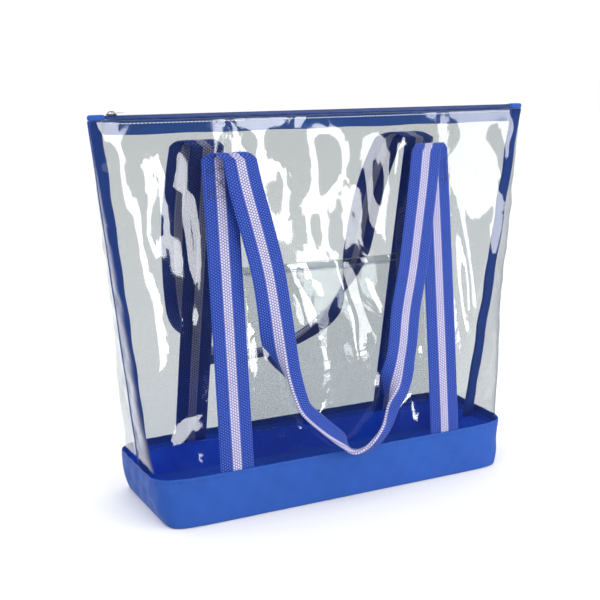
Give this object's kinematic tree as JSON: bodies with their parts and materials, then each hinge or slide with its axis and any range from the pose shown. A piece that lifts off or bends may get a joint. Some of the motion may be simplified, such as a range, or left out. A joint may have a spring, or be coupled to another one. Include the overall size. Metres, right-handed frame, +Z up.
{
  "type": "clear beach tote bag",
  "caption": "Clear film beach tote with a boxed fabric base, a zipped top, a front slip pocket and striped webbing handles that swing up.",
  "frame": {"origin": "middle of the flat underside, on the floor", "axes": "+X along the zipper, to the right seen from the front; front is -Y; +Z up"},
  "size_m": [0.5246, 0.195, 0.4205],
  "materials": {
    "base_cloth": "matt coated woven fabric",
    "film": "clear soft film, glossy",
    "binding": "matt woven tape",
    "facing": "woven tape under film",
    "zipper_tape": "matt knitted tape",
    "zipper_coil": "satin",
    "end_tab": "matt coated woven fabric",
    "slider_metal": "gloss black",
    "pull_metal": "bright",
    "webbing": "woven webbing with a pale stripe",
    "thread": "sewing thread",
    "label": "satin ribbon"
  },
  "bodies": {
    "bag_body": {"base_shell": "base_cloth", "front_panel": "film", "back_panel": "film", "left_seam_binding": "binding", "right_seam_binding": "binding", "front_top_facing": "facing", "back_top_facing": "facing", "front_zipper_tape": "zipper_tape", "back_zipper_tape": "zipper_tape", "front_zipper_coil": "zipper_coil", "back_zipper_coil": "zipper_coil", "left_zipper_tab": "end_tab", "right_zipper_tab": "end_tab", "front_left_leg": "webbing", "front_right_leg": "webbing", "back_left_leg": "webbing", "back_right_leg": "webbing", "front_left_box_stitch": "thread", "front_right_box_stitch": "thread", "back_left_box_stitch": "thread", "back_right_box_stitch": "thread", "front_pocket": "film", "pocket_stitching": "thread", "care_label": "label", "base_hem_stitching": "thread", "front_top_stitching": "thread", "back_top_stitching": "thread"},
    "slider": {"zipper_slider": "slider_metal"},
    "pull": {"zipper_pull": "pull_metal"},
    "front_loop": {"front_handle_loop": "webbing"},
    "back_loop": {"back_handle_loop": "webbing"}
  },
  "joints": [
    {"name": "zipper_slide", "type": "slide", "parent": "bag_body", "child": "slider", "axis": [1, 0, 0], "range_m": [0, 0.476]},
    {"name": "pull_flip", "type": "hinge", "parent": "slider", "child": "pull", "pos_m": [-0.238, 0, 0.41875], "axis": [0, -1, 0], "range_deg": [0, 170]},
    {"name": "front_handle_swing", "type": "hinge", "parent": "bag_body", "child": "front_loop", "pos_m": [0, -0.02855, 0.37035], "axis": [-1, 0, 0], "range_deg": [0, 165]},
    {"name": "back_handle_swing", "type": "hinge", "parent": "bag_body", "child": "back_loop", "pos_m": [0, 0.027, 0.37935], "axis": [1, 0, 0], "range_deg": [0, 165]}
  ]
}
